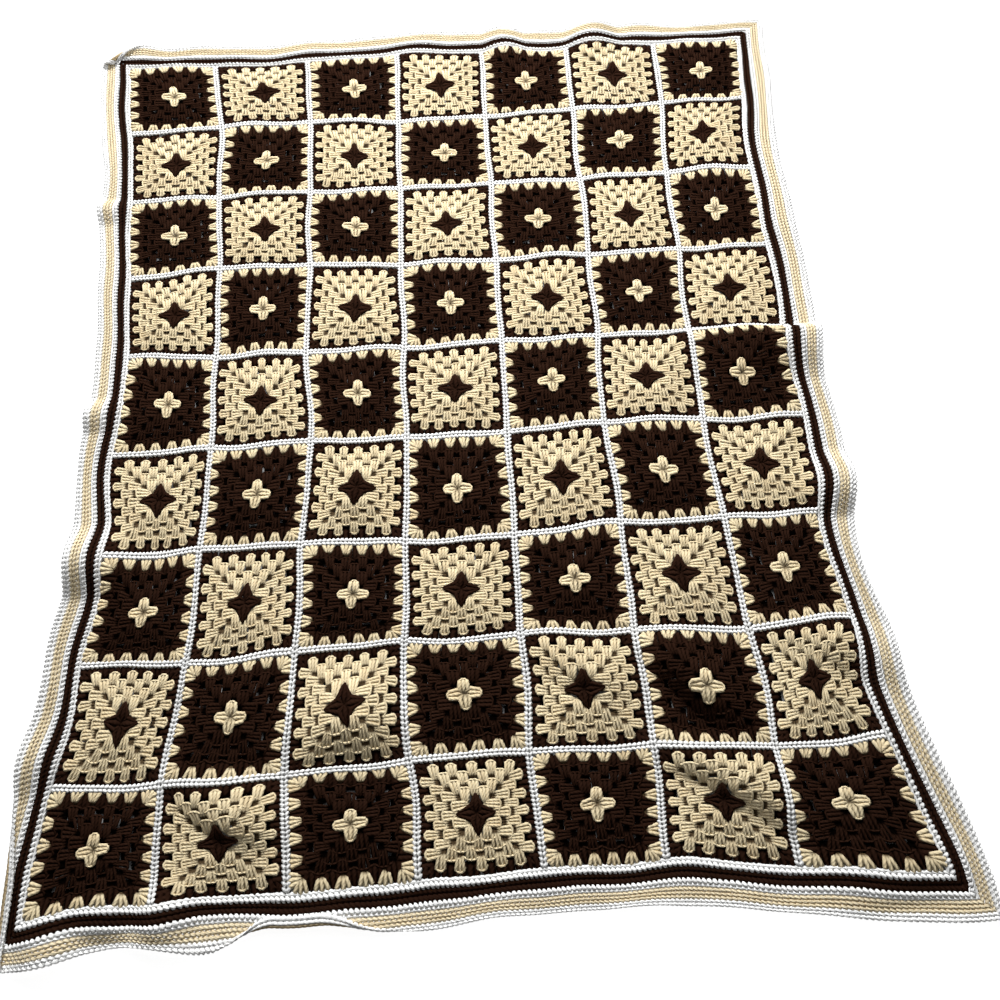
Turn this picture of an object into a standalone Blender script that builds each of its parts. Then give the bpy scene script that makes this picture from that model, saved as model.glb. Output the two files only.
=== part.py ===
# Granny square blanket, laid out on a floor with the folds of a throw that was spread by hand.
# Seven columns of nine crocheted squares, white joining seams between the columns, and a striped
# border in four mitred sides. Metres, +Z up, the floor at Z = 0 and the origin under the middle.
# Column 1 is at -X. Row 1 is at +Y and row 9 at -Y.

import math
from collections import namedtuple

import bpy
import numpy as np

# Driving sizes
COLUMNS = 7
ROWS = 9
SQUARE = 0.160           # from the middle of one seam to the next
SEAM = 0.009             # width of a joining seam
BORDER = {"left": 0.054, "right": 0.055, "top": 0.055, "bottom": 0.062}   # width of its sides
CLOTH = 0.0048           # thickness of the crochet, seams and border included
GAP = 0.0003             # between neighbouring pieces
HOLE_PLACE = 0.046       # from a square's middle to its four largest gaps, past round three
HOLE_WIDE = 0.0060       # size of such a gap along the round
HOLE_DEEP = 0.0050       # size of such a gap across the round
RESTING_SHIFT = (-0.0140, 0.0132)   # brings the middle of the laid out blanket to the origin

# Where the cloth may bend, from a square's middle
BENDS = (0.018, 0.054)       # in every column, and in the rows that lie in folds
WIDE_BENDS = (0.027,)        # in the rows that lie flat
FLAT_ROWS = (1, 2, 3)
BORDER_BENDS = (0.0, 0.22, 0.40, 0.53, 0.65, 0.77, 0.88, 1.0)   # shares of a side's width

# Places below are in squares from the field's top left corner: columns to the right, rows down.

# Sideways pulls of the whole cloth: where, how far they reach in squares, and how far they shift it
Pull = namedtuple("Pull", "column row reach_across reach_along right up")
PULLS = (
    Pull(-0.6, 4.9, 3.1, 3.9, 0.032, 0.000),     # left edge drawn in at the waist
    Pull(7.6, 4.3, 3.1, 3.9, -0.023, 0.000),     # right edge drawn in at the waist
    Pull(-0.3, -0.5, 3.6, 2.1, -0.033, 0.000),   # top left corner spread out
    Pull(7.2, -0.4, 3.2, 2.0, 0.014, -0.012),    # top right corner
    Pull(7.3, 9.3, 1.5, 1.9, 0.056, -0.022),     # bottom right corner spread out
    Pull(3.6, 9.6, 4.4, 1.9, 0.006, 0.034),      # bottom edge pushed up in the middle
    Pull(0.1, 9.1, 3.1, 1.9, -0.024, -0.004),    # bottom left corner spread out
    Pull(5.6, 8.1, 1.7, 1.4, 0.010, 0.004),      # single squares out of line from here on
    Pull(1.4, 3.0, 1.6, 1.4, 0.004, 0.012),
    Pull(6.6, 1.4, 1.4, 1.3, -0.006, 0.013),
    Pull(3.4, 6.0, 1.5, 1.3, -0.002, -0.010),
    Pull(3.6, 1.0, 1.8, 1.3, 0.000, -0.010),
    Pull(1.5, 7.9, 1.6, 1.2, -0.012, -0.006),
    Pull(3.0, 7.3, 1.2, 1.2, -0.010, 0.006),
    Pull(7.3, 8.0, 1.1, 1.1, -0.018, 0.003),
    Pull(6.0, 7.9, 1.0, 1.0, 0.004, -0.013),
    Pull(2.1, 5.0, 1.2, 1.1, 0.010, 0.002),
    Pull(5.1, 4.8, 1.2, 1.1, -0.006, 0.008),
    Pull(0.0, 4.0, 1.0, 0.9, 0.004, 0.010),
    Pull(0.0, 6.1, 1.0, 0.9, 0.007, -0.006),
    Pull(-0.7, 7.0, 0.6, 2.0, -0.010, 0.000),    # border wider or narrower from here on
    Pull(7.7, 2.7, 0.6, 2.6, 0.012, 0.000),
    Pull(7.7, 7.9, 0.6, 1.3, 0.018, 0.000),
    Pull(6.6, -0.7, 1.2, 0.6, 0.000, -0.014),
    Pull(3.2, 9.7, 2.4, 0.6, 0.000, -0.014),
    Pull(0.8, 9.7, 1.1, 0.6, 0.000, 0.014),
)

# Soft ridges: a crest of this heading (degrees from +X) and half length, falling to the floor over
# one width on the left of the heading and another on the right
Ridge = namedtuple("Ridge", "column row heading half_length left_width right_width height")
RIDGES = (
    Ridge(6.95, 4.12, 180, 0.230, 0.085, 0.024, 0.024),   # pleat that steps out at the right edge
    Ridge(5.58, 7.60, -60, 0.125, 0.070, 0.042, 0.021),   # slanting fold, row 8 column 6
    Ridge(5.75, 8.33, -35, 0.125, 0.070, 0.042, 0.020),   # its continuation into row 9
    Ridge(2.54, 7.62, 0, 0.125, 0.080, 0.060, 0.018),     # low fold along row 8 column 3
    Ridge(1.55, 8.22, -38, 0.115, 0.065, 0.042, 0.018),   # slanting fold, row 9 column 2
    Ridge(4.55, 7.30, -30, 0.115, 0.060, 0.045, 0.011),
    Ridge(6.75, 7.20, -24, 0.150, 0.060, 0.045, 0.013),
    Ridge(2.50, 5.45, 90, 0.095, 0.036, 0.036, 0.009),    # upright crease, row 6 column 3
    Ridge(-0.20, 6.02, 0, 0.100, 0.060, 0.060, 0.022),    # wave in the left border
    Ridge(7.25, 5.72, 0, 0.110, 0.060, 0.060, 0.022),     # wave in the right border
    Ridge(-0.28, 2.10, 0, 0.060, 0.030, 0.034, 0.012),    # small pleats in the left border
    Ridge(-0.28, 4.58, 0, 0.060, 0.030, 0.034, 0.012),
    Ridge(4.27, -0.20, 90, 0.150, 0.045, 0.045, 0.015),   # two waves in the top border
    Ridge(5.30, -0.20, 90, 0.160, 0.055, 0.055, 0.017),
    Ridge(0.20, 9.25, 90, 0.070, 0.045, 0.045, 0.014),    # two waves in the bottom border
    Ridge(1.05, 9.25, 90, 0.070, 0.050, 0.050, 0.012),
    Ridge(6.70, 8.95, 12, 0.110, 0.050, 0.050, 0.009),
)

# Border edges that roll up and over: from where to where along their side they begin, are full and
# end, how far out of the field the roll starts, and how far the outer edge turns (degrees)
Curl = namedtuple("Curl", "side begin full_from full_to end start turn")
CURLS = (
    Curl("left", 7.55, 8.75, 9.60, 9.90, 0.022, 240),     # bottom left corner, rolled over
    Curl("left", -0.70, -0.50, -0.25, 0.30, 0.020, 44),   # top left corner, standing up
    Curl("top", -0.70, -0.50, 0.05, 0.55, 0.022, 44),
    Curl("bottom", 1.40, 1.98, 2.32, 2.62, 0.036, 215),   # short roll in the bottom edge
)

FIELD_ACROSS = (COLUMNS * SQUARE - SEAM) / 2     # half the field, to the border's inner edge
FIELD_ALONG = (ROWS * SQUARE - SEAM) / 2

CREAM = (0.80, 0.70, 0.47, 1.0)
BROWN = (0.045, 0.026, 0.020, 1.0)
WHITE = (0.86, 0.86, 0.84, 1.0)
GOLD = (0.74, 0.60, 0.34, 1.0)
ROUGHNESS = 0.9
SHARP_EDGE = math.radians(40)
PROBE = 0.0005           # how far to each side the cloth's slope is felt


def clear_scene():
    for item in list(bpy.data.objects):
        bpy.data.objects.remove(item, do_unlink=True)


def yarn(name, colour):
    material = bpy.data.materials.new(name)
    material.use_nodes = True
    shader = material.node_tree.nodes["Principled BSDF"]
    shader.inputs["Base Color"].default_value = colour
    shader.inputs["Roughness"].default_value = ROUGHNESS
    shader.inputs["Metallic"].default_value = 0.0
    return material


# How the cloth lies

def across_of(column):
    return (column - COLUMNS / 2) * SQUARE


def along_of(row):
    return (ROWS / 2 - row) * SQUARE


def swell(q):
    """1 at q = 0, falling smoothly to 0 at q = 1 and beyond, and just as on the other side."""
    return np.clip(1 - q * q, 0, None) ** 2


def ramp(q):
    """0 below q = 0, 1 above q = 1 and a smooth step between."""
    q = np.clip(q, 0, 1)
    return q * q * (3 - 2 * q)


def roll(distance, place, side):
    """Distance out from the field and height, where this side's edge rolls up at this place."""
    out = distance
    up = np.zeros_like(distance)
    for curl in CURLS:
        if curl.side != side:
            continue
        share = ramp((place - curl.begin) / (curl.full_from - curl.begin))
        share = share * ramp((curl.end - place) / (curl.end - curl.full_to))
        past = np.clip(distance - curl.start, 0, None)
        turn = math.radians(curl.turn) * share * past / (BORDER[side] - curl.start)
        out = out - past + past * np.sinc(turn / math.pi)
        up = up + past * np.sinc(turn / (2 * math.pi)) * np.sin(turn / 2)
    return out, up


def underside(across, along):
    """World place of the cloth's underside, from flat distances across and along the blanket."""
    column = across / SQUARE + COLUMNS / 2
    row = ROWS / 2 - along / SQUARE
    left_out, left_up = roll(-across - FIELD_ACROSS, row, "left")
    top_out, top_up = roll(along - FIELD_ALONG, column, "top")
    bottom_out, bottom_up = roll(-along - FIELD_ALONG, column, "bottom")
    x = np.where(across < -FIELD_ACROSS, -FIELD_ACROSS - left_out, across)
    y = np.where(along > FIELD_ALONG, FIELD_ALONG + top_out, along)
    y = np.where(along < -FIELD_ALONG, -FIELD_ALONG - bottom_out, y)
    z = left_up + top_up + bottom_up
    for pull in PULLS:
        reach = np.hypot((column - pull.column) / pull.reach_across,
                         (row - pull.row) / pull.reach_along)
        x = x + pull.right * swell(reach)
        y = y + pull.up * swell(reach)
    for ridge in RIDGES:
        right = across - across_of(ridge.column)
        up = along - along_of(ridge.row)
        heading = math.radians(ridge.heading)
        forward = right * math.cos(heading) + up * math.sin(heading)
        leftward = up * math.cos(heading) - right * math.sin(heading)
        width = np.where(leftward > 0, ridge.left_width, ridge.right_width)
        z = z + ridge.height * swell(forward / ridge.half_length) * swell(leftward / width)
    return np.stack([x + RESTING_SHIFT[0], y + RESTING_SHIFT[1], z], axis=-1)


def lay(across, along, height):
    """World place of a point that stands this high on the cloth's underside, square to it."""
    to_right = underside(across + PROBE, along) - underside(across - PROBE, along)
    to_top = underside(across, along + PROBE) - underside(across, along - PROBE)
    normal = np.cross(to_right, to_top)
    normal = normal / np.linalg.norm(normal, axis=-1, keepdims=True)
    return underside(across, along) + height * normal


# Pieces

def panel(name, across, along, colour, holes=()):
    """One closed piece over a grid of flat places, both rising with their index; each hole is the
    cell that holds it and its middle, width and depth."""
    wide, deep = across.shape
    flat = [np.stack([across.ravel(), along.ravel()], axis=1)]
    corner = wide * deep
    inner = {}
    for cell, middle, size in holes:
        half = np.array(size) / 2
        signs = np.array([(-1, -1), (1, -1), (1, 1), (-1, 1)])
        flat.append(np.array(middle) + signs * half)
        inner[cell] = [corner, corner + 1, corner + 2, corner + 3]
        corner += 4
    flat = np.concatenate(flat)
    below = lay(flat[:, 0], flat[:, 1], 0.0)
    above = lay(flat[:, 0], flat[:, 1], CLOTH)
    count = len(flat)

    faces = []

    def two_sided(loop):
        faces.append([count + index for index in loop])
        faces.append(list(reversed(loop)))

    def wall(first, second):
        # its diagonal starts under the lower place, so that two facing walls are twisted alike
        if first < second:
            faces.append([first, second, count + second])
            faces.append([first, count + second, count + first])
        else:
            faces.append([first, second, count + first])
            faces.append([second, count + second, count + first])

    for i in range(wide - 1):
        for j in range(deep - 1):
            outer = [i * deep + j, (i + 1) * deep + j, (i + 1) * deep + j + 1, i * deep + j + 1]
            if (i, j) not in inner:
                two_sided(outer)
                continue
            rim = inner[(i, j)]
            for k in range(4):
                n = (k + 1) % 4
                two_sided([outer[k], outer[n], rim[n], rim[k]])
                wall(rim[n], rim[k])
    for i in range(wide - 1):
        wall(i * deep, (i + 1) * deep)
        wall((i + 2) * deep - 1, (i + 1) * deep - 1)
    for j in range(deep - 1):
        wall(j + 1, j)
        wall((wide - 1) * deep + j, (wide - 1) * deep + j + 1)

    mesh = bpy.data.meshes.new(name)
    mesh.from_pydata(np.concatenate([below, above]).tolist(), [], faces)
    mesh.materials.append(yarn(f"{name}_yarn", colour))
    mesh.validate()
    mesh.shade_smooth()
    mesh.set_sharp_from_angle(angle=SHARP_EDGE)
    piece = bpy.data.objects.new(name, mesh)
    bpy.context.scene.collection.objects.link(piece)
    return piece


def both_ways(bends):
    return [-bend for bend in reversed(bends)] + list(bends)


def column_lines(column):
    """Distances across the blanket at which a column's cloth may bend, its edges included."""
    half = (SQUARE - SEAM) / 2
    middle = across_of(column - 0.5)
    return [middle + bend for bend in both_ways(BENDS + (half,))]


def along_lines():
    """Distances along the blanket, from row 9 up to row 1, at which its cloth may bend."""
    lines = [-FIELD_ALONG]
    for row in range(ROWS, 0, -1):
        bends = WIDE_BENDS if row in FLAT_ROWS else BENDS
        lines += [along_of(row - 0.5) + bend for bend in both_ways(bends)]
        lines.append(min(along_of(row - 1), FIELD_ALONG))
    return lines


def shrink(lines):
    """The same lines with both ends drawn in by half a gap."""
    return [lines[0] + GAP / 2] + list(lines[1:-1]) + [lines[-1] - GAP / 2]


def square_holes(column, lines_across, lines_along):
    """The four largest gaps of each square of a column, with the grid cells that they lie in."""
    holes = []
    for row in range(1, ROWS + 1):
        middle = (across_of(column - 0.5), along_of(row - 0.5))
        for side in (-1, 1):
            for offset, size in (((side * HOLE_PLACE, 0.0), (HOLE_DEEP, HOLE_WIDE)),
                                 ((0.0, side * HOLE_PLACE), (HOLE_WIDE, HOLE_DEEP))):
                place = (middle[0] + offset[0], middle[1] + offset[1])
                cell = (int(np.searchsorted(lines_across, place[0])) - 1,
                        int(np.searchsorted(lines_along, place[1])) - 1)
                holes.append((cell, place, size))
    return holes


def make_columns():
    for column in range(1, COLUMNS + 1):
        lines_across = shrink(column_lines(column))
        lines_along = shrink(along_lines())
        across, along = np.meshgrid(lines_across, lines_along, indexing="ij")
        holes = square_holes(column, lines_across, lines_along)
        panel(f"column_{column}", across, along, (BROWN, CREAM)[column % 2], holes)


def make_seams():
    for number in range(1, COLUMNS):
        middle = across_of(number)
        lines_across = shrink([middle - SEAM / 2, middle + SEAM / 2])
        across, along = np.meshgrid(lines_across, shrink(along_lines()), indexing="ij")
        panel(f"seam_{number}", across, along, WHITE)


def make_border():
    """Four sides whose ends meet on the corners' diagonals, half a gap short of them."""
    share = np.array(BORDER_BENDS)
    out = {side: np.maximum(share * width, GAP / 2) for side, width in BORDER.items()}
    mitre = GAP / 2 * math.sqrt(2)
    for side, sign in (("left", -1), ("right", 1)):
        along = np.tile(along_lines(), (len(share), 1))
        along[:, 0] = -FIELD_ALONG - out["bottom"] + mitre
        along[:, -1] = FIELD_ALONG + out["top"] - mitre
        across = sign * (FIELD_ACROSS + np.repeat(out[side][:, None], along.shape[1], axis=1))
        panel(f"border_{side}", across[::sign], along[::sign], GOLD)

    lines = [line for column in range(1, COLUMNS + 1) for line in column_lines(column)]
    for side, sign in (("bottom", -1), ("top", 1)):
        across = np.tile(lines, (len(share), 1)).T
        across[0] = -FIELD_ACROSS - out["left"] + mitre
        across[-1] = FIELD_ACROSS + out["right"] - mitre
        along = sign * (FIELD_ALONG + np.repeat(out[side][None, :], across.shape[0], axis=0))
        panel(f"border_{side}", across[:, ::sign], along[:, ::sign], GOLD)


clear_scene()
make_columns()
make_seams()
make_border()
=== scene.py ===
# The looks of a crocheted granny square blanket that lies spread on a floor, stitch by stitch.
# Flat places are in metres from the blanket's middle, across to the right and along to its first row,
# with a height above the cloth's underside. layCloth brings them to where the cloth lies.

import math
from collections import namedtuple
import bpy
import numpy as np
from mathutils import Matrix, Vector


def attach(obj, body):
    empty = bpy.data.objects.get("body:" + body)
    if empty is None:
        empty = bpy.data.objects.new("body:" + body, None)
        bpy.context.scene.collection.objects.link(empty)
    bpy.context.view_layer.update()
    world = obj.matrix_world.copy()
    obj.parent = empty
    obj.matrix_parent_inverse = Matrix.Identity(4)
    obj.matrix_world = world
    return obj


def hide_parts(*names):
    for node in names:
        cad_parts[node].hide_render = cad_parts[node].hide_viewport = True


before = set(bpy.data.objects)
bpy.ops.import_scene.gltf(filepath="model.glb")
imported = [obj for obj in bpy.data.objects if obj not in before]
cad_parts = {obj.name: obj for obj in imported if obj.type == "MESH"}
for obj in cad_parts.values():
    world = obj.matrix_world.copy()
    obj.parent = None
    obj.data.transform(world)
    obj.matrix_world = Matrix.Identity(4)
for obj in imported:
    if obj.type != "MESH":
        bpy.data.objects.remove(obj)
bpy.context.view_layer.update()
print("frame loaded")

# How the cloth lies. It follows the solids, but its rolled corner, its fold and some of its pulls and
# ridges are nearer to the photograph.
cloth = {
    "columns": 7,
    "rows": 9,
    "square": 0.160,            # from the middle of one seam to the next
    "seam": 0.009,              # width of a joining seam
    "border": {"left": 0.054, "right": 0.055, "top": 0.055, "bottom": 0.062},
    "shift": (-0.0140, 0.0132),  # brings the middle of the laid out blanket to the origin
    "probe": 0.0005,            # how far to each side the cloth's slope is felt
}
fieldAcross = (cloth["columns"] * cloth["square"] - cloth["seam"]) / 2
fieldAlong = (cloth["rows"] * cloth["square"] - cloth["seam"]) / 2

# Sideways pulls, in metres right and up at their place, fading out to their reach. Places in the three
# tables and reaches are in squares. Places go from the field's top left corner, right and down.
Pull = namedtuple("Pull", "column row reachAcross reachAlong right up")
pulls = (
    Pull(-0.6, 4.9, 3.1, 3.9, 0.032, 0.000),     # left edge drawn in at the waist
    Pull(7.6, 4.3, 3.1, 3.9, -0.023, 0.000),     # right edge drawn in at the waist
    Pull(-0.3, -0.5, 3.6, 2.1, -0.033, 0.000),   # top left corner spread out
    Pull(7.2, -0.4, 3.2, 2.0, 0.014, -0.012),    # top right corner
    Pull(7.3, 9.3, 1.5, 1.9, 0.056, -0.022),     # bottom right corner spread out
    Pull(3.6, 9.6, 4.4, 1.9, 0.006, 0.034),      # bottom edge pushed up in the middle
    Pull(0.1, 9.1, 3.1, 1.9, -0.024, -0.004),    # bottom left corner spread out
    Pull(5.6, 8.1, 1.7, 1.4, 0.010, 0.004),      # single squares out of line from here on
    Pull(1.4, 3.0, 1.6, 1.4, 0.004, 0.012),
    Pull(6.6, 1.4, 1.4, 1.3, -0.006, 0.013),
    Pull(3.4, 6.0, 1.5, 1.3, -0.002, -0.010),
    Pull(3.6, 1.0, 1.8, 1.3, 0.000, -0.010),
    Pull(1.5, 7.9, 1.6, 1.2, -0.012, -0.006),
    Pull(3.0, 7.3, 1.2, 1.2, -0.010, 0.006),
    Pull(7.3, 8.0, 1.1, 1.1, -0.009, 0.003),
    Pull(6.0, 7.9, 1.0, 1.0, 0.004, -0.013),
    Pull(2.1, 5.0, 1.2, 1.1, 0.010, 0.002),
    Pull(5.1, 4.8, 1.2, 1.1, -0.006, 0.008),
    Pull(0.0, 4.0, 1.0, 0.9, 0.004, 0.010),
    Pull(0.0, 6.1, 1.0, 0.9, 0.007, -0.006),
    Pull(-0.7, 7.0, 0.6, 2.0, -0.010, 0.000),    # border wider or narrower from here on
    Pull(7.7, 2.7, 0.6, 2.6, 0.012, 0.000),
    Pull(7.7, 7.9, 0.6, 1.3, 0.018, 0.000),
    Pull(6.6, -0.7, 1.2, 0.6, 0.000, -0.014),
    Pull(4.4, 9.7, 3.0, 0.6, 0.000, 0.019),
    Pull(0.8, 9.7, 0.7, 0.6, 0.000, 0.022),
    Pull(1.4, 9.7, 0.5, 0.6, 0.000, -0.014),
    Pull(4.0, 9.6, 2.6, 1.3, 0.002, -0.011),     # not in the solids, from here on
    Pull(1.0, 9.2, 1.0, 0.9, 0.008, 0.001),
    Pull(6.0, 9.2, 0.9, 1.0, 0.011, -0.010),
    Pull(2.7, 9.5, 1.7, 1.1, 0.000, -0.016),
    Pull(0.5, 9.2, 0.6, 0.8, 0.000, 0.009),
    Pull(1.5, -0.3, 2.2, 1.2, -0.003, -0.014),
    Pull(0.0, 1.0, 0.9, 0.8, -0.003, -0.010),
    Pull(6.1, 1.0, 0.9, 0.9, 0.008, -0.005),
    Pull(7.2, 5.0, 0.9, 0.9, 0.009, 0.000),
    Pull(-0.2, 5.0, 0.9, 0.9, -0.007, 0.000),
    Pull(0.9, 6.6, 1.2, 1.0, -0.002, -0.008),
    Pull(6.0, 7.0, 0.8, 0.8, 0.006, -0.008),
    Pull(4.0, 7.5, 1.0, 1.0, 0.000, 0.007),
    Pull(7.3, 3.5, 0.9, 0.9, 0.011, 0.000),
    Pull(7.3, 6.4, 0.9, 0.8, -0.013, 0.000),
    Pull(4.5, -0.3, 1.2, 1.0, 0.000, -0.012),
    Pull(3.0, 9.55, 1.0, 0.5, 0.000, 0.007),
    Pull(0.0, 9.6, 0.7, 0.5, 0.000, 0.007),
    Pull(7.3, 9.6, 0.7, 0.5, 0.000, 0.006),
)
# A crest of this heading (degrees from across) and half length, falling off over a width each side
Ridge = namedtuple("Ridge", "column row heading halfLength leftWidth rightWidth height")
ridges = (
    Ridge(6.95, 4.12, 180, 0.230, 0.085, 0.024, 0.024),   # pleat that steps out at the right edge
    Ridge(5.40, 7.44, -47, 0.110, 0.065, 0.034, 0.022),   # slanting fold, row 8 column 6
    Ridge(5.26, 8.08, -28, 0.060, 0.050, 0.036, 0.011),   # where it runs on, into row 9
    Ridge(5.75, 8.33, -35, 0.125, 0.070, 0.042, 0.020),   # slanting fold, row 9 column 6
    Ridge(2.54, 7.62, 0, 0.125, 0.080, 0.060, 0.018),     # low fold along row 8 column 3
    Ridge(1.55, 8.22, -38, 0.115, 0.065, 0.042, 0.018),   # slanting fold, row 9 column 2
    Ridge(4.55, 7.30, -30, 0.115, 0.060, 0.045, 0.011),   # low folds, row 8 columns 5 and 7
    Ridge(6.75, 7.20, -24, 0.150, 0.060, 0.045, 0.013),
    Ridge(2.50, 5.45, 90, 0.095, 0.036, 0.036, 0.009),    # upright crease, row 6 column 3
    Ridge(-0.20, 6.02, 0, 0.100, 0.060, 0.060, 0.022),    # wave in the left border
    Ridge(7.25, 5.72, 0, 0.110, 0.060, 0.060, 0.022),     # wave in the right border
    Ridge(-0.28, 2.10, 0, 0.060, 0.030, 0.034, 0.012),    # two small pleats in the left border
    Ridge(-0.28, 4.58, 0, 0.060, 0.030, 0.034, 0.012),
    Ridge(0.22, -0.35, 90, 0.060, 0.035, 0.050, 0.006),   # three waves in the top border
    Ridge(4.27, -0.25, 90, 0.140, 0.045, 0.045, 0.013),
    Ridge(5.30, -0.25, 90, 0.150, 0.055, 0.055, 0.015),
    Ridge(0.20, 9.25, 90, 0.070, 0.045, 0.045, 0.014),    # two waves in the bottom border
    Ridge(1.05, 9.25, 90, 0.070, 0.050, 0.050, 0.012),
    Ridge(0.62, 9.02, -8, 0.050, 0.050, 0.046, 0.009),    # raised inner edge of the bottom border
    Ridge(1.10, 9.02, 4, 0.048, 0.050, 0.046, 0.010),
    Ridge(-0.25, 7.80, 25, 0.060, 0.060, 0.050, 0.010),   # low wave in the left border
    Ridge(6.70, 8.95, 12, 0.110, 0.050, 0.050, 0.009),    # low ridge under row 9 column 7
)
# Border edges that roll up and over. A roll grows from begin to fullFrom, and shrinks from fullTo to end.
# Where it is full it starts this far out from the field, has this radius and turns by these degrees.
Curl = namedtuple("Curl", "side begin fullFrom fullTo end start radius turn")
curls = (
    Curl("left", 7.55, 8.75, 9.60, 9.90, 0.022, 0.0076, 240),    # bottom left corner, rolled over
    Curl("bottom", 1.36, 1.92, 2.20, 3.05, 0.034, 0.0060, 186),  # short fold in the bottom edge
)
# The top left corner folds over a line at this heading, through this place from the field's corner
cornerFold = {"right": -0.054, "up": -0.002, "heading": 33, "radius": 0.0076, "turn": 330}
# Small waves that keep the rows from being straight and the cloth from being flat, in turns a metre
Wave = namedtuple("Wave", "turnsAcross turnsAlong start right up lift")
waves = (
    Wave(3.1, 4.3, 0.4, 0.0010, -0.0012, 0.0005),
    Wave(-5.2, 3.7, 1.9, 0.0009, 0.0011, 0.0006),
    Wave(6.3, 6.9, 3.3, -0.0008, 0.0008, 0.0005),
    Wave(9.7, -5.6, 5.0, 0.0005, 0.0006, 0.0004),
)


def acrossOf(column):
    # (column - half of the columns) * square
    return (column - cloth["columns"] / 2) * cloth["square"]


def alongOf(row):
    # (half of the rows - row) * square
    return (cloth["rows"] / 2 - row) * cloth["square"]


def swell(q):
    # (1 - q squared) squared: 1 in the middle, 0 from q = 1 on
    return np.clip(1 - q * q, 0, None) ** 2


def ramp(q):
    # 3 q squared - 2 q cubed, from 0 to 1
    q = np.clip(q, 0, 1)
    return q * q * (3 - 2 * q)


def rollUp(past, radius, degrees):
    # the cloth past a line: an arc of past / radius, up to its degrees, then straight on. Returns how far
    # it is drawn in, and its height.
    past = np.clip(past, 0, None)
    turn = np.minimum(past / radius, math.radians(degrees))
    rest = past - radius * turn
    drawnIn = past - radius * np.sin(turn) - rest * np.cos(turn)
    raised = radius * (1 - np.cos(turn)) + rest * np.sin(turn)
    return drawnIn, raised


def rollEdge(distance, place, side):
    # each curl's line runs from the edge in to its start, and back to the edge
    out = distance
    up = np.zeros_like(distance)
    for curl in curls:
        if curl.side != side:
            continue
        share = ramp((place - curl.begin) / (curl.fullFrom - curl.begin))
        share = share * ramp((curl.end - place) / (curl.end - curl.fullTo))
        width = cloth["border"][side]
        drawnIn, raised = rollUp(distance - width + share * (width - curl.start), curl.radius, curl.turn)
        out = out - drawnIn
        up = up + raised
    return out, up


def underside(across, along):
    # the flat place, its edges rolled, moved by each pull's swell, lifted by each ridge's, and waved
    column = across / cloth["square"] + cloth["columns"] / 2
    row = cloth["rows"] / 2 - along / cloth["square"]
    leftOut, leftUp = rollEdge(-across - fieldAcross, row, "left")
    bottomOut, bottomUp = rollEdge(-along - fieldAlong, column, "bottom")
    x = np.where(across < -fieldAcross, -fieldAcross - leftOut, across)
    y = np.where(along < -fieldAlong, -fieldAlong - bottomOut, along)
    z = leftUp + bottomUp
    heading = math.radians(cornerFold["heading"])
    right = across + fieldAcross - cornerFold["right"]
    up = along - fieldAlong - cornerFold["up"]
    past = up * math.cos(heading) - right * math.sin(heading)
    drawnIn, raised = rollUp(past, cornerFold["radius"], cornerFold["turn"])
    x = x + drawnIn * math.sin(heading)
    y = y - drawnIn * math.cos(heading)
    z = z + raised
    for pull in pulls:
        reach = np.hypot((column - pull.column) / pull.reachAcross, (row - pull.row) / pull.reachAlong)
        x = x + pull.right * swell(reach)
        y = y + pull.up * swell(reach)
    for ridge in ridges:
        right = across - acrossOf(ridge.column)
        up = along - alongOf(ridge.row)
        heading = math.radians(ridge.heading)
        forward = right * math.cos(heading) + up * math.sin(heading)
        leftward = up * math.cos(heading) - right * math.sin(heading)
        width = np.where(leftward > 0, ridge.leftWidth, ridge.rightWidth)
        z = z + ridge.height * swell(forward / ridge.halfLength) * swell(leftward / width)
    for wave in waves:
        angle = 2 * math.pi * (across * wave.turnsAcross + along * wave.turnsAlong) + wave.start
        x = x + wave.right * np.sin(angle)
        y = y + wave.up * np.sin(angle)
        z = z + wave.lift * (1 + np.sin(angle))
    return np.stack([x + cloth["shift"][0], y + cloth["shift"][1], z], axis=-1)


def layCloth(places):
    # underside of (across, along), plus the height times the cloth's unit normal there
    across, along, height = places[..., 0], places[..., 1], places[..., 2]
    probe = cloth["probe"]
    toRight = underside(across + probe, along) - underside(across - probe, along)
    toTop = underside(across, along + probe) - underside(across, along - probe)
    normal = np.cross(toRight, toTop)
    normal = normal / np.linalg.norm(normal, axis=-1, keepdims=True)
    return underside(across, along) + height[..., None] * normal


# The camera stands where the photograph's did.
view = {
    "place": (0.0300, -0.5291, 1.0537),
    "looksAt": (0.0469, -0.1765, 0.0),
    "roll": -0.0145,            # in radians
    "lens": 26.28,              # in millimetres, as the sensor's width
    "sensor": 36,
    "farthest": 50,             # that it sees, in metres
}


def makeCamera():
    # back = from what it looks at to its place, right = straight up times back, up = back times right
    camera = bpy.data.objects.new("camera", bpy.data.cameras.new("camera"))
    bpy.context.scene.collection.objects.link(camera)
    camera.data.sensor_width = view["sensor"]
    camera.data.lens = view["lens"]
    camera.data.clip_end = view["farthest"]
    place = Vector(view["place"])
    back = (place - Vector(view["looksAt"])).normalized()
    right = Vector((0, 0, 1)).cross(back).normalized()
    up = back.cross(right)
    turnedRight = right * math.cos(view["roll"]) + up * math.sin(view["roll"])
    turnedUp = up * math.cos(view["roll"]) - right * math.sin(view["roll"])
    axes = Matrix((turnedRight, turnedUp, back)).transposed()
    camera.matrix_world = Matrix.Translation(place) @ axes.to_4x4()
    bpy.context.scene.camera = camera
    bpy.context.scene.view_settings.view_transform = "Standard"


makeCamera()
print("camera placed")

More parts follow.
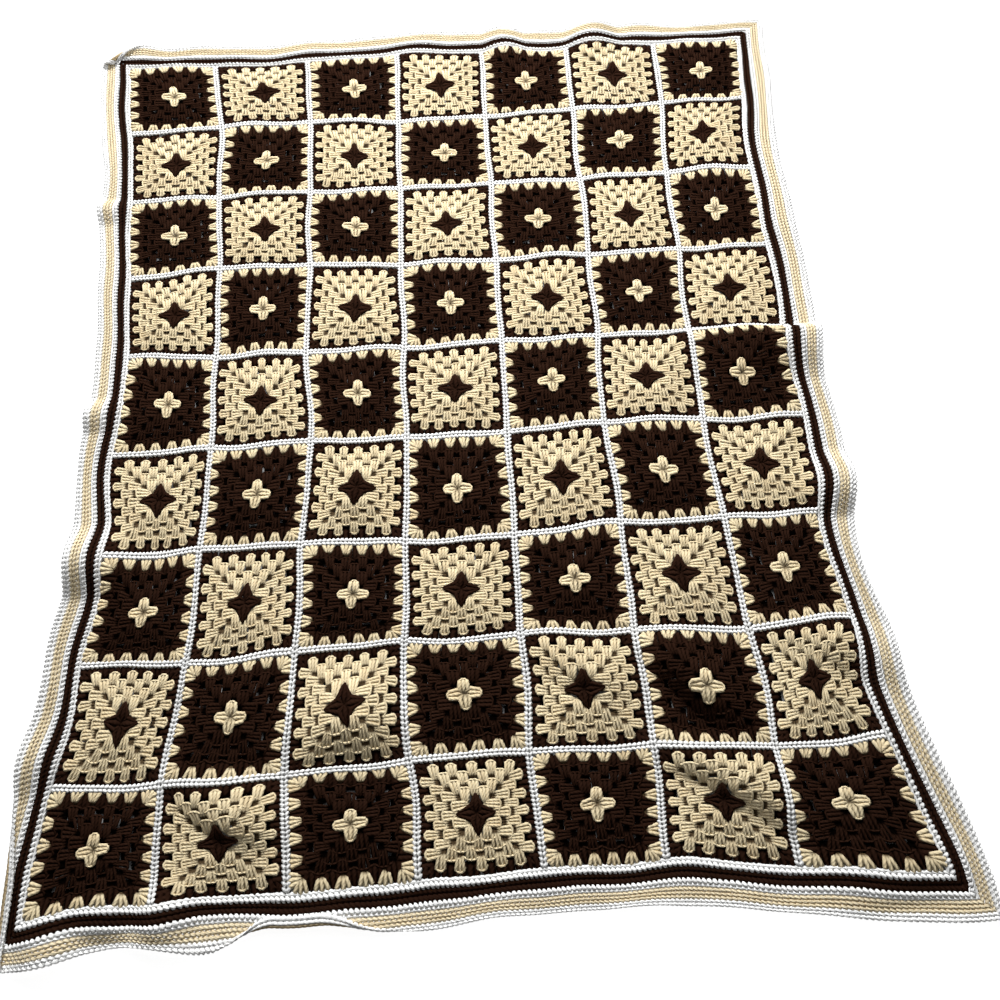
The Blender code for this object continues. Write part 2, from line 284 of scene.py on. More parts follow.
# Each yarn's own colour, its darker colour for dye patches and painted shade between plies, and painted
# shade between stitches
yarns = {
    "cream": {
        "colour": (0.82, 0.695, 0.455),
        "dark": (0.63, 0.46, 0.25),
        "deep": (0.070, 0.045, 0.022),
        "sheen": 0.05,
        "gloss": 0.06,
    },
    "brown": {
        "colour": (0.0250, 0.0110, 0.0066),
        "dark": (0.0120, 0.0050, 0.0030),
        "deep": (0.0014, 0.0007, 0.0005),
        "sheen": 0.0,
        "gloss": 0.0,
    },
    "white": {
        "colour": (0.92, 0.92, 0.91),
        "dark": (0.78, 0.78, 0.77),
        "deep": (0.20, 0.195, 0.185),
        "sheen": 0.05,
        "gloss": 0.06,
    },
    "gold": {
        "colour": (0.86, 0.75, 0.53),
        "dark": (0.64, 0.49, 0.27),
        "deep": (0.30, 0.20, 0.085),
        "sheen": 0.05,
        "gloss": 0.06,
    },
}
yarnNames = list(yarns)
spin = {
    "plies": 3,
    "turnLength": 0.0060,       # of strand that the plies take for one turn
    "plyBump": 0.00015,
    "fuzzBump": 0.0002,
    "fuzzScale": 900.0,
    "fuzzDetail": 3.0,
    "dyeScale": 60.0,           # the dye's patches
    "dyeDetail": 2.0,
    "dyeFrom": 0.3,             # noise where a patch begins
    "dyeTo": 0.7,               # and where it is darkest
    "dyeDark": 0.22,
    "plyGrooveShade": 0.14,         # painted shade between the plies
    "smoothest": 0.80,          # least and most roughness
    "roughest": 0.98,
    "sheenRoughness": 0.5,
    "tipLength": 0.6,           # a strand's pointed end, in half widths of the strand
    "tipTurns": 0.3,            # and in turns of its plies
}


def feed(tree, target, inputs):
    # each input is linked where an output is given for it, and set to the value otherwise
    for name, value in inputs.items():
        if isinstance(value, bpy.types.NodeSocket):
            tree.links.new(value, target.inputs[name])
        else:
            target.inputs[name].default_value = value


def node(tree, kind, place, inputs, **settings):
    # the settings come first, because some of them decide which inputs there are
    made = tree.nodes.new(kind)
    made.location = place
    for name, value in settings.items():
        setattr(made, name, value)
    feed(tree, made, inputs)
    return made


def compute(tree, operation, place, *values, **settings):
    # the output of a maths node
    made = node(tree, "ShaderNodeMath", place, dict(enumerate(values)), operation=operation, **settings)
    return made.outputs[0]


def yarnMaterial(name, yarn):
    # plies are stripes that slant around the strand: sine of (turns along it + plies around it)
    material = bpy.data.materials.new(f"{name}Yarn")
    material.use_nodes = True
    tree = material.node_tree
    strand = node(tree, "ShaderNodeUVMap", (-1300, 100), {}, uv_map="strand")
    split = node(tree, "ShaderNodeSeparateXYZ", (-1120, 100), {0: strand.outputs["UV"]})
    around = compute(tree, "MULTIPLY", (-940, 0), split.outputs["Y"], spin["plies"])
    turns = compute(tree, "ADD", (-780, 80), split.outputs["X"], around)
    angle = compute(tree, "MULTIPLY", (-620, 80), turns, 2 * math.pi)
    ply = compute(tree, "SINE", (-460, 80), angle)

    place = node(tree, "ShaderNodeTexCoord", (-1300, -300), {}).outputs["Object"]
    fuzz = node(tree, "ShaderNodeTexNoise", (-940, -300),
                {"Vector": place, "Scale": spin["fuzzScale"], "Detail": spin["fuzzDetail"]})
    dye = node(tree, "ShaderNodeTexNoise", (-940, -560),
               {"Vector": place, "Scale": spin["dyeScale"], "Detail": spin["dyeDetail"]})
    stitch = node(tree, "ShaderNodeAttribute", (-940, -800), {}, attribute_name="stitchTone")
    paintedShadeInput = node(tree, "ShaderNodeAttribute", (220, 320), {}, attribute_name="paintedShadeShare")

    # how dark a spot is: painted shade in the grooves between plies, patches in the dye, and each stitch's
    # own tone
    paintedGrooveShade = node(tree, "ShaderNodeMapRange", (-280, 80),
                  {"Value": ply, "From Min": -1.0, "To Min": spin["plyGrooveShade"], "To Max": 0.0})
    patch = node(tree, "ShaderNodeMapRange", (-620, -560),
                 {"Value": dye.outputs["Fac"], "From Min": spin["dyeFrom"], "From Max": spin["dyeTo"],
                  "To Max": spin["dyeDark"]})
    dyePatchAndGrooveShade = compute(tree, "ADD", (-100, -100), paintedGrooveShade.outputs["Result"], patch.outputs["Result"])
    dark = compute(tree, "ADD", (60, -200), dyePatchAndGrooveShade, stitch.outputs["Fac"], use_clamp=True)
    mix = node(tree, "ShaderNodeMix", (220, 60),
               {"Factor": dark, "A": (*yarn["colour"], 1.0), "B": (*yarn["dark"], 1.0)}, data_type="RGBA")
    # painted shade: towards the deep colour where a point is tucked in, between or under stitches
    paintedShadeMix = node(tree, "ShaderNodeMix", (420, 160),
                 {"Factor": paintedShadeInput.outputs["Fac"], "A": mix.outputs["Result"], "B": (*yarn["deep"], 1.0)},
                 data_type="RGBA")

    rough = node(tree, "ShaderNodeMapRange", (220, -240),
                 {"Value": fuzz.outputs["Fac"], "To Min": spin["smoothest"], "To Max": spin["roughest"]})
    fine = node(tree, "ShaderNodeBump", (220, -500),
                {"Height": fuzz.outputs["Fac"], "Distance": spin["fuzzBump"], "Strength": 1.0})
    twist = node(tree, "ShaderNodeBump", (400, -400),
                 {"Height": ply, "Distance": spin["plyBump"], "Strength": 1.0,
                  "Normal": fine.outputs["Normal"]})
    feed(tree, tree.nodes["Principled BSDF"], {
        "Base Color": paintedShadeMix.outputs["Result"],
        "Roughness": rough.outputs["Result"],
        "Normal": twist.outputs["Normal"],
        "Sheen Weight": yarn["sheen"],
        "Sheen Roughness": spin["sheenRoughness"],
        "Sheen Tint": (*yarn["colour"], 1.0),
        "Specular IOR Level": yarn["gloss"],
    })
    return material


yarnMaterials = [yarnMaterial(name, yarn) for name, yarn in yarns.items()]
print("yarns dyed")

# Many closed tubes of one shape: points (tubes, corners, 3), one pattern of quads and tip triangles for
# all, strand coordinates for each face corner, a yarn and a tone for each tube, and the painted shade of
# each point, where it is tucked in
Strands = namedtuple("Strands", "points quads tips strandUv yarn tone tuck")


def makeStrands(path, wide, tall, yarn, tone, tuck, crease, sides, slant=0.0):
    # Ring = path + beside * wide * cos(turn) + above * tall * sin(turn), leaning forward by slant to one
    # side. A point in front of each end closes the tube. It has painted shade where it is tucked in, and
    # more painted shade by crease towards its underside.
    count, rings = path.shape[:2]
    ahead = np.gradient(path, axis=1)
    ahead = ahead / np.linalg.norm(ahead, axis=-1, keepdims=True)
    beside = np.stack([ahead[..., 1], -ahead[..., 0], np.zeros((count, rings))], axis=-1)
    beside = beside / np.linalg.norm(beside, axis=-1, keepdims=True)
    above = np.cross(beside, ahead)
    turn = 2 * math.pi * np.arange(sides) / sides + math.pi / 2
    sideways = wide[:, :, None] * np.cos(turn)
    upward = tall[:, :, None] * np.sin(turn)
    forward = slant * sideways
    ring = (path[:, :, None] + beside[:, :, None] * sideways[..., None]
            + above[:, :, None] * upward[..., None] + ahead[:, :, None] * forward[..., None])
    first = path[:, 0] - ahead[:, 0] * (spin["tipLength"] * wide[:, 0])[:, None]
    last = path[:, -1] + ahead[:, -1] * (spin["tipLength"] * wide[:, -1])[:, None]
    points = np.concatenate([ring.reshape(count, rings * sides, 3), first[:, None], last[:, None]], axis=1)

    # a quad for each side from ring to ring, and a triangle for each side at either tip
    level, side = np.indices((rings - 1, sides)).reshape(2, -1)
    here, following = level * sides + side, level * sides + (side + 1) % sides
    quads = np.stack([here, following, following + sides, here + sides], axis=1)
    around = np.arange(sides)
    nextAround = (around + 1) % sides
    end = (rings - 1) * sides
    firstTip, lastTip = np.full(sides, rings * sides), np.full(sides, rings * sides + 1)
    tips = np.concatenate([np.stack([firstTip, nextAround, around], axis=1),
                           np.stack([lastTip, end + around, end + nextAround], axis=1)])

    # strand coordinates: turns of twist along the tube, and the share of the way around it
    stretch = np.linalg.norm(np.diff(path, axis=1), axis=-1)
    length = np.concatenate([np.zeros((count, 1)), np.cumsum(stretch, axis=1)], axis=1) / spin["turnLength"]
    alongUv = length[:, np.stack([level, level, level + 1, level + 1], axis=1)]
    aroundUv = np.broadcast_to(np.stack([side, side + 1, side + 1, side], axis=1) / sides, alongUv.shape)
    quadUv = np.stack([alongUv, aroundUv], axis=-1).reshape(count, -1, 2)
    startAround = np.stack([around + 0.5, around + 1, around], axis=1) / sides
    endAround = np.stack([around + 0.5, around, around + 1], axis=1) / sides
    before, after = np.zeros((count, sides, 3)), np.zeros((count, sides, 3))
    before[:, :, 0] = -spin["tipTurns"]
    after += length[:, -1][:, None, None]
    after[:, :, 0] += spin["tipTurns"]
    tipUv = [np.stack([before, np.broadcast_to(startAround, before.shape)], axis=-1),
             np.stack([after, np.broadcast_to(endAround, after.shape)], axis=-1)]
    strandUv = np.concatenate([quadUv, np.concatenate(tipUv, axis=1).reshape(count, -1, 2)], axis=1)

    # painted shade of each point: its ring's own, and more by crease towards the tube's underside
    tuck = np.broadcast_to(tuck, (count, rings))
    ringPaintedShade = tuck[:, :, None] + (1 - tuck[:, :, None]) * crease * (1 - np.sin(turn)) / 2
    pointPaintedShade = np.concatenate([ringPaintedShade.reshape(count, -1), tuck[:, :1], tuck[:, -1:]], axis=1)
    return Strands(points, quads, tips, strandUv, yarn, tone, pointPaintedShade)


def crochetPiece(name, groups):
    # One mesh of all the strands, laid where the cloth lies. A tube's corners = those of its shape + the
    # points before it.
    points, corners, starts, uvs, yarn, tone, tuck = [], [], [], [], [], [], []
    offset, loopOffset = 0, 0
    for group in groups:
        count, each = group.points.shape[:2]
        points.append(group.points.reshape(-1, 3))
        shift = offset + each * np.arange(count)[:, None]
        loops = np.concatenate([group.quads.ravel(), group.tips.ravel()])[None] + shift
        corners.append(loops.ravel())
        inTube = np.concatenate([np.arange(len(group.quads)) * 4,
                                 len(group.quads) * 4 + np.arange(len(group.tips)) * 3])
        starts.append((loopOffset + loops.shape[1] * np.arange(count)[:, None] + inTube[None]).ravel())
        uvs.append(group.strandUv.reshape(-1, 2))
        yarn.append(np.repeat(group.yarn, len(inTube)))
        tone.append(np.repeat(group.tone, each))
        tuck.append(group.tuck.ravel())
        offset += each * count
        loopOffset += loops.size
    places = layCloth(np.concatenate(points))
    corners = np.concatenate(corners)
    starts = np.concatenate(starts)

    mesh = bpy.data.meshes.new(name)
    mesh.vertices.add(len(places))
    mesh.vertices.foreach_set("co", places.astype(np.float32).ravel())
    mesh.loops.add(len(corners))
    mesh.loops.foreach_set("vertex_index", corners.astype(np.int32))
    mesh.polygons.add(len(starts))
    mesh.polygons.foreach_set("loop_start", starts.astype(np.int32))
    mesh.polygons.foreach_set("material_index", np.concatenate(yarn).astype(np.int32))
    for material in yarnMaterials:
        mesh.materials.append(material)
    mesh.update(calc_edges=True)
    mesh.shade_smooth()
    strand = mesh.uv_layers.new(name="strand")
    strand.data.foreach_set("uv", np.concatenate(uvs).astype(np.float32).ravel())
    # each point's tone, and its painted shade
    for attribute, values in (("stitchTone", tone), ("paintedShadeShare", tuck)):
        layer = mesh.attributes.new(attribute, "FLOAT", "POINT")
        layer.data.foreach_set("value", np.concatenate(values).astype(np.float32))
    piece = bpy.data.objects.new(name, mesh)
    bpy.context.scene.collection.objects.link(piece)
    triangles = int((np.diff(np.append(starts, len(corners))) - 2).sum())
    print(f"{name}: {triangles} triangles")
    return piece


# A granny square: shells of three posts in six rounds, chains over their tops, and a ring in the middle
granny = {
    "pitch": 0.0252,            # from one shell to the next along a round
    "postPlaces": (0.0, 0.32, 1.0),             # shares of the round's painted shade
    "postTall": (0.0006, 0.0014, 0.0014),       # half heights
    "postHeight": (0.0008, 0.0027, 0.0032),     # of their middle above the underside
    "postPaintedShade": (1.0, 0.10, 0.0),               # shares of the round's own
    "postShort": (0.0006, 0.0022),              # how far short of the tip the inner and outer posts end
    "postUndersideShade": 0.42,                         # painted shade between them, towards each post's underside
    "postSides": (5, 4, 5),                     # of the left, middle and right post
    "domeShares": (-1.0, -0.78, -0.34, 0.34, 0.78, 1.0),   # the chain around a shell's top, across
    "domeBack": (0.0060, 0.0024, 0.0002, 0.0002, 0.0024, 0.0060),
    "domeHeight": (0.0018, 0.0031, 0.0037, 0.0037, 0.0031, 0.0018),
    # painted shade at the ends of a shell's chain, where it goes down
    "domeTuck": (0.5, 0.0, 0.0, 0.0, 0.0, 0.5),
    "domeInset": 0.0012,                        # of the chain's middle from the shell's side
    "spanShares": (-1.0, -0.60, -0.28, 0.28, 0.60, 1.0),   # and where it runs on from shell to shell
    "spanBack": (0.0040, 0.0022, 0.0003, 0.0003, 0.0022, 0.0040),
    "spanHeight": (0.0026, 0.0033, 0.0037, 0.0037, 0.0033, 0.0026),
    # painted shade at the ends of the chain that runs from shell to shell
    "spanTuck": (0.25, 0.0, 0.0, 0.0, 0.0, 0.25),
    "chainWide": 0.0016,
    "chainTall": 0.0012,
    "chainTone": 0.0,
    # painted shade towards the chains' undersides
    "chainUndersideShade": 0.35,
    "chainSides": 4,
    "postTone": -0.05,
    "cornerIn": 0.0026,         # corner shells start nearer to the square's diagonal,
    "cornerLonger": 0.0020,     # and further in,
    "sideLonger": 0.0050,       # as the third round's middle shells do, over the first round's tips
    "ringRadius": 0.0034,
    "ringWide": 0.0034,
    "ringTall": 0.0010,
    "ringHeight": 0.0014,
    "ringPoints": 9,
    "ringTone": 0.2,
    # painted shade on the ring in the middle
    "ringPaintedShade": 0.9,
    "unevenPlace": 0.0008,
    "unevenHeight": 0.00015,
    "unevenSquare": 0.0009,
    "unevenTurn": 0.010,
    "unevenTone": 0.16,
}
# Each round's outer edge and shell length; at the base, middle and top of a shell, how far the outer
# posts stand off its middle, and the posts' half widths; how much wider the middle post is; how far
# the shell is raised; how much painted shade lies on its base; and its chain
Round = namedtuple("Round", "yarn tip length fan wide middle lift tuck chain")
shellFan, shellWide = (0.0034, 0.0037, 0.0053), (0.0025, 0.0021, 0.0026)
darkRounds = (
    Round("cream", 0.0216, 0.0201, (0.0016, 0.0063, 0.0043), (0.0016, 0.0029, 0.0028),
          1.1, 0.0008, 0.85, "dome"),
    Round("brown", 0.0350, 0.0250, (0.0040, 0.0052, 0.0058), (0.0028, 0.0030, 0.0030),
          1.1, 0.0, 1.6, "span"),
    Round("brown", 0.0465, 0.0227, shellFan, shellWide, 1.15, 0.0, 2.2, "span"),
    Round("brown", 0.0580, 0.0227, shellFan, shellWide, 1.15, 0.0, 2.2, "span"),
    Round("brown", 0.0750, 0.0262, (0.0034, 0.0070, 0.0062), (0.0026, 0.0040, 0.0033),
          1.0, -0.0003, 1.8, None),
    Round("cream", 0.0770, 0.0175, (0.0014, 0.0034, 0.0070), (0.0020, 0.0025, 0.0030),
          1.1, 0.0008, 1.5, None),
)
lightRounds = (
    Round("brown", 0.0278, 0.0270, (0.0022, 0.0082, 0.0010), (0.0022, 0.0038, 0.0015),
          1.3, 0.0008, 0.3, None),
    Round("cream", 0.0350, 0.0240, (0.0014, 0.0038, 0.0053), (0.0018, 0.0024, 0.0026),
          1.15, 0.0, 0.3, "span"),
    Round("cream", 0.0465, 0.0227, shellFan, shellWide, 1.15, 0.0, 2.2, "span"),
    Round("cream", 0.0580, 0.0227, shellFan, shellWide, 1.15, 0.0, 2.2, "span"),
    Round("cream", 0.0695, 0.0227, shellFan, shellWide, 1.15, 0.0003, 2.2, "dome"),
    Round("brown", 0.0768, 0.0178, (0.0030, 0.0076, 0.0084), (0.0024, 0.0037, 0.0042),
          1.15, -0.0006, 1.6, None),
)
Shells = namedtuple("Shells", "side number place basePlace tip length")


def squareShells(rounds):
    # Sides 0 to 3 are top, right, bottom and left, and round k has k shells on each side. Place of shell j
    # = (j - (k - 1) / 2) pitches. From the third round on, the first and last shells are at the corners.
    rows = [(side, k, j - (k - 1) / 2, rounds[k - 1].tip, rounds[k - 1].length)
            for k in range(1, len(rounds) + 1) for side in range(4) for j in range(k)]
    side, k, steps, tip, length = np.array(rows).T
    place = steps * granny["pitch"]
    corner = (k > 2) & (np.abs(steps) == (k - 1) / 2)
    sideMiddle = (k == 3) & (steps == 0)
    basePlace = place - corner * np.sign(place) * granny["cornerIn"]
    length = length + corner * granny["cornerLonger"] + sideMiddle * granny["sideLonger"]
    return Shells(side.astype(int), k.astype(int), place, basePlace, tip, length)


def toSquare(middle, turned, side, sideways, outward):
    # turns (sideways, outward) of a side into (across, along) of the blanket
    quarter = turned - side * math.pi / 2
    return (middle[0] + sideways * np.cos(quarter) - outward * np.sin(quarter),
            middle[1] + sideways * np.sin(quarter) + outward * np.cos(quarter))


def makeSquare(middle, isDark, random):
    # returns the posts with the ring in the middle, and the chains that lie on them
    rounds = darkRounds if isDark else lightRounds
    shells = squareShells(rounds)
    side, count = shells.side, len(shells.side)
    kinds = [rounds[k - 1] for k in shells.number]
    yarn = np.array([yarnNames.index(kind.yarn) for kind in kinds])
    fan, wide = np.array([kind.fan for kind in kinds]), np.array([kind.wide for kind in kinds])
    lift = np.array([kind.lift for kind in kinds])[:, None]
    middleWider = np.array([kind.middle for kind in kinds])[:, None]
    # painted shade of each post at its base, middle and top
    tuck = np.array([kind.tuck for kind in kinds])[:, None] * np.array(granny["postPaintedShade"])
    middle = np.array(middle) + random.normal(0, granny["unevenSquare"] / 2, 2)
    turned = random.normal(0, granny["unevenTurn"] / 2)
    shellTone = random.normal(0, granny["unevenTone"] / 2, count)
    uneven = random.normal(0, granny["unevenPlace"], (3, count))
    place, basePlace = shells.place + uneven[0], shells.basePlace + uneven[1]
    tip = shells.tip + uneven[2]
    base = tip - shells.length

    # posts: three in each shell, fanned from a narrow base that is tucked under the round before
    share = np.array(granny["postPlaces"])
    tall = np.broadcast_to(np.array(granny["postTall"]), wide.shape)
    posts = []
    for which, sides in zip((-1, 0, 1), granny["postSides"]):
        end = tip - granny["postShort"][abs(which)]
        outward = base[:, None] + (end - base)[:, None] * share
        sideways = basePlace[:, None] + (place - basePlace)[:, None] * share + which * fan
        sideways = sideways + random.normal(0, granny["unevenPlace"] / 3, (count, 1))
        across, along = toSquare(middle, turned, side[:, None], sideways, outward)
        raised = random.normal(0, granny["unevenHeight"], (count, 1))
        height = np.array(granny["postHeight"]) + lift + raised
        path = np.stack([across, along, height], axis=-1)
        wides = wide if which else wide * middleWider
        tone = granny["postTone"] + shellTone + random.normal(0, granny["unevenTone"] / 2, count)
        posts.append(makeStrands(path, wides, tall, yarn, tone, tuck, granny["postUndersideShade"], sides))

    # a chain around the rounded top of each shell, but not in the last rounds, where the seam hides it
    chains = []
    for shape in ("dome", "span"):
        chosen = np.array([kind.chain == shape for kind in kinds])
        if not chosen.any():
            continue
        half = fan[chosen, 2] + wide[chosen, 2] - granny["domeInset"]
        if shape == "span":
            half = np.full(len(half), granny["pitch"] / 2)
        sideways = place[chosen, None] + half[:, None] * np.array(granny[f"{shape}Shares"])
        outward = tip[chosen, None] - np.array(granny[f"{shape}Back"])
        across, along = toSquare(middle, turned, side[chosen, None], sideways, outward)
        height = np.array(granny[f"{shape}Height"]) + lift[chosen]
        path = np.stack([across, along, height], axis=-1)
        wides = np.full(across.shape, granny["chainWide"])
        talls = np.full(across.shape, granny["chainTall"])
        tone = granny["chainTone"] + shellTone[chosen]
        chains.append(makeStrands(path, wides, talls, yarn[chosen], tone, granny[f"{shape}Tuck"],
                                  granny["chainUndersideShade"], granny["chainSides"]))

    # the ring in the middle, in the first round's yarn
    points = granny["ringPoints"]
    turn = np.linspace(0, 2 * math.pi, points)
    across = middle[0] + granny["ringRadius"] * np.cos(turn)
    along = middle[1] + granny["ringRadius"] * np.sin(turn)
    path = np.stack([across, along, np.full(points, granny["ringHeight"])], axis=-1)[None]
    wides, talls = np.full((1, points), granny["ringWide"]), np.full((1, points), granny["ringTall"])
    tone = np.array([granny["ringTone"]])
    ring = makeStrands(path, wides, talls, yarn[:1], tone, granny["ringPaintedShade"], 0.0, granny["chainSides"])
    return posts + [ring], chains


# A seam: two rows of stitches side by side. Its rows and the border's rounds are made alike.
seam = {
    "yarn": "white",
    "stitch": 0.0065,           # length of a stitch
    "offset": 0.0024,           # each of the two rows, from the seam's middle
    "wide": 0.0024,
    "tall": 0.0014,
    "height": 0.0044,
    "bulge": 0.32,              # how much a stitch swells and sinks
    "slant": 0.45,
    "tone": -0.3,
    "tuck": 0.55,               # painted shade between two stitches
    "crease": 0.10,             # and painted shade at their edges
}
stitches = {
    "rings": 3,                 # of each stitch, one drawn in and the others swollen
    "sides": 4,
    "wander": 0.00015,          # how unevenly they lie in a row
}


def stitchRow(start, end, sideways, looks, phase, random):
    # A tube from start to end, sideways to the right of them. Half width = wide * (1 + bulge * swollen),
    # where swollen is -1 at one ring of each stitch and 1 at the others.
    start, end = np.array(start), np.array(end)
    run = np.linalg.norm(end - start)
    ahead = (end - start) / run
    beside = np.array([ahead[1], -ahead[0]])
    rings = stitches["rings"] * max(2, round(run / looks["stitch"])) + 1
    share = np.arange(rings) / (rings - 1)
    swollen = np.where((np.arange(rings) + phase) % stitches["rings"] == 0, -1.0, 1.0)
    wander = random.normal(0, stitches["wander"], rings)
    flat = start + share[:, None] * (end - start) + (sideways + wander)[:, None] * beside
    height = looks["height"] + swollen * looks["tall"] * looks["bulge"] / 2
    path = np.concatenate([flat, height[:, None]], axis=1)[None]
    wides = (looks["wide"] * (1 + looks["bulge"] * swollen))[None]
    talls = (looks["tall"] * (1 + looks["bulge"] * swollen))[None]
    yarn, tone = np.array([yarnNames.index(looks["yarn"])]), np.array([looks["tone"]])
    # painted shade at the drawn-in ring of each stitch
    tuck = looks["tuck"] * (1 - swollen) / 2
    return makeStrands(path, wides, talls, yarn, tone, tuck, looks["crease"], stitches["sides"],
                       slant=looks["slant"])


def makeSeam(start, end, random):
    # two rows, whose stitches lean forward at their outer edges
    rows = []
    for lean in (-1, 1):
        looks = dict(seam, slant=lean * seam["slant"])
        rows.append(stitchRow(start, end, lean * seam["offset"], looks, 0, random))
    return rows


# The border: rounds of single crochet
border = {"stitch": 0.0065, "tall": 0.0017}
# The rounds from the inside out: share of the border's width, own width over that, height, swell of a
# stitch, lean, tone, and the painted shade between two stitches and at their edges
BorderRound = namedtuple("BorderRound", "yarn room width height bulge slant tone tuck crease")
borderRounds = (
    BorderRound("white", 0.85, 1.10, 0.0030, 0.10, 0.9, -0.10, 0.30, 0.10),
    BorderRound("white", 0.85, 1.12, 0.0038, 0.46, 0.4, -0.30, 0.40, 0.10),
    BorderRound("brown", 1.32, 1.20, 0.0022, 0.12, 0.5, 0.00, 0.30, 0.60),
    BorderRound("brown", 1.32, 1.20, 0.0022, 0.12, 0.5, 0.00, 0.30, 0.60),
    BorderRound("white", 0.85, 1.12, 0.0038, 0.50, 0.3, -0.30, 0.50, 0.10),
    BorderRound("white", 0.85, 1.10, 0.0030, 0.10, 0.9, -0.20, 0.12, 0.12),
    BorderRound("gold", 0.92, 1.00, 0.0030, 0.24, 0.6, -0.20, 0.35, 0.85),
    BorderRound("gold", 0.92, 1.00, 0.0030, 0.24, 0.6, 0.00, 0.35, 0.85),
    BorderRound("gold", 0.92, 1.00, 0.0030, 0.24, 0.6, -0.20, 0.35, 0.85),
    BorderRound("white", 0.95, 1.05, 0.0030, 0.26, 0.6, -0.10, 0.14, 0.12),
    BorderRound("white", 0.95, 1.05, 0.0032, 0.40, 0.5, -0.20, 0.10, 0.10),
)


def makeBorder(side, random):
    # Rounds from the inside out, each from mitre to mitre. Half width = border * room / 2 * own width.
    sizes = cloth["border"]
    groups = []
    rooms = np.array([kind.room for kind in borderRounds]) / sum(kind.room for kind in borderRounds)
    for number, kind in enumerate(borderRounds):
        share = rooms[:number].sum() + rooms[number] / 2
        out = {name: size * share for name, size in sizes.items()}
        left, right = -fieldAcross - out["left"], fieldAcross + out["right"]
        bottom, top = -fieldAlong - out["bottom"], fieldAlong + out["top"]
        ends = {
            "left": ((left, bottom), (left, top)),
            "right": ((right, top), (right, bottom)),
            "top": ((left, top), (right, top)),
            "bottom": ((right, bottom), (left, bottom)),
        }[side]
        wide = sizes[side] * rooms[number] / 2 * kind.width
        looks = dict(border, wide=wide, **kind._asdict())
        groups.append(stitchRow(*ends, 0.0, looks, number, random))
    return groups


# The pieces, each on the solid it dresses
making = {
    "seed": 7,                  # of all that is uneven
    "seamFlatWidth": 0.010,     # its stitches stand a little over the seam's edges
}


def declare(piece, nodeName, raised=()):
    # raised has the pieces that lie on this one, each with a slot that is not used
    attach(piece, "root")
    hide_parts(nodeName)
    for other, otherSlot in raised:
        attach(other, "root")


random = np.random.default_rng(making["seed"])
columnWide = cloth["square"] - cloth["seam"]
for column in range(1, cloth["columns"] + 1):
    strands, tops, joins = [], [], []
    for row in range(1, cloth["rows"] + 1):
        middle = (acrossOf(column - 0.5), alongOf(row - 0.5))
        posts, chains = makeSquare(middle, (row + column) % 2 == 0, random)
        strands += posts
        tops += chains
        if row < cloth["rows"]:
            left, right = middle[0] - columnWide / 2, middle[0] + columnWide / 2
            joins += makeSeam((left, alongOf(row)), (right, alongOf(row)), random)
    piece = crochetPiece(f"squaresOfColumn{column}", strands)
    raised = [(crochetPiece(f"shellTopsOfColumn{column}", tops), "square_yarn"),
              (crochetPiece(f"shortSeamsOfColumn{column}", joins), "seam_yarn")]
    declare(piece, f"column_{column}", raised=raised)
print("squares crocheted")

for number in range(1, cloth["columns"]):
    middle = acrossOf(number)
    piece = crochetPiece(f"longSeam{number}", makeSeam((middle, -fieldAlong), (middle, fieldAlong), random))
    declare(piece, f"seam_{number}")
print("seams joined")

for side in cloth["border"]:
    piece = crochetPiece(f"{side}Border", makeBorder(side, random))
    declare(piece, f"border_{side}")
print("border finished")

# The floor and the light
studio = {
    "floorReach": 14.0,         # how many times as far out as the part of it under the blanket
    "underBorder": 0.020,       # how far that part goes under the border
    "floorCorners": 96,
    "floorColour": (0.35, 0.35, 0.35, 1.0),
    "floorRoughness": 0.9,
    "floorGlow": 0.92,
    "floorLevel": -0.0006,
    "world": 0.10,
    "keyPlace": (-0.3, 3.0, 1.9),
    "keyAim": (0.0, 0.2, 0.0),
    "keySize": 1.2,
    "keyPower": 220,
    "fillPlace": (0.1, 0.35, 1.0),
    "fillAim": (0.1, 0.3, 0.0),
    "fillSize": 0.8,
    "fillPower": 6.6,
}


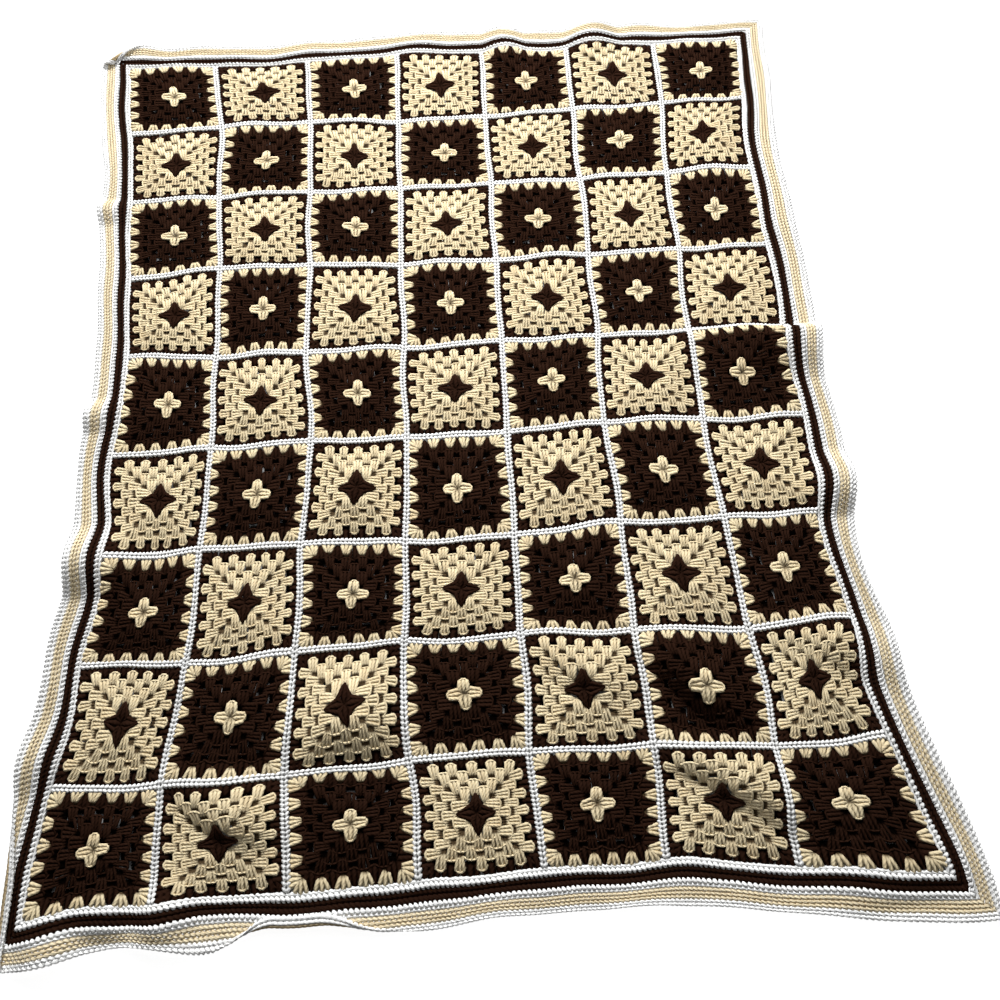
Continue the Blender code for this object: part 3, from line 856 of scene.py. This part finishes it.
def areaLight(name, place, size, power, aim):
    # a lamp shines along its own -Z, which is turned from its place to its aim
    light = bpy.data.lights.new(name, "AREA")
    light.size = size
    light.energy = power
    lamp = bpy.data.objects.new(name, light)
    bpy.context.scene.collection.objects.link(lamp)
    lamp.location = place
    lamp.rotation_euler = (Vector(aim) - Vector(place)).to_track_quat("-Z", "Y").to_euler()


def floorMaterial(name, glow):
    # a matt surface that also gives off white light of this strength
    material = bpy.data.materials.new(name)
    material.use_nodes = True
    tree = material.node_tree
    feed(tree, tree.nodes["Principled BSDF"], {
        "Base Color": studio["floorColour"],
        "Roughness": studio["floorRoughness"],
        "Emission Color": (1, 1, 1, 1),
        "Emission Strength": glow,
    })
    return material


def makeFloor():
    # The part under the blanket follows its outline. The ring around it goes out from there, and glows.
    half = np.array([fieldAcross, fieldAlong]) + studio["underBorder"]
    turn = np.linspace(0, 2 * math.pi, studio["floorCorners"], endpoint=False)
    flat = np.stack([np.cos(turn), np.sin(turn)], axis=-1)
    flat = flat / np.abs(flat).max(axis=1, keepdims=True) * half
    inner = underside(flat[:, 0], flat[:, 1])
    inner[:, 2] = studio["floorLevel"]
    outer = inner * (studio["floorReach"], studio["floorReach"], 1)
    count = len(turn)
    faces = [(i, count + i, count + (i + 1) % count, (i + 1) % count) for i in range(count)]
    mesh = bpy.data.meshes.new("floor")
    mesh.from_pydata(np.concatenate([inner, outer]).tolist(), [], faces + [tuple(range(count))])
    mesh.materials.append(floorMaterial("paleFloor", studio["floorGlow"]))
    mesh.materials.append(floorMaterial("paleFloorUnderBlanket", 0.0))
    mesh.polygons[count].material_index = 1
    floor = bpy.data.objects.new("floor", mesh)
    bpy.context.scene.collection.objects.link(floor)


makeFloor()
for name in ("key", "fill"):
    settings = [studio[name + setting] for setting in ("Place", "Size", "Power", "Aim")]
    areaLight(f"{name}Light", *settings)
world = bpy.data.worlds.new("studio")
world.use_nodes = True
background = world.node_tree.nodes["Background"]
feed(world.node_tree, background, {"Color": (1, 1, 1, 1), "Strength": studio["world"]})
bpy.context.scene.world = world
print("floor and light set")
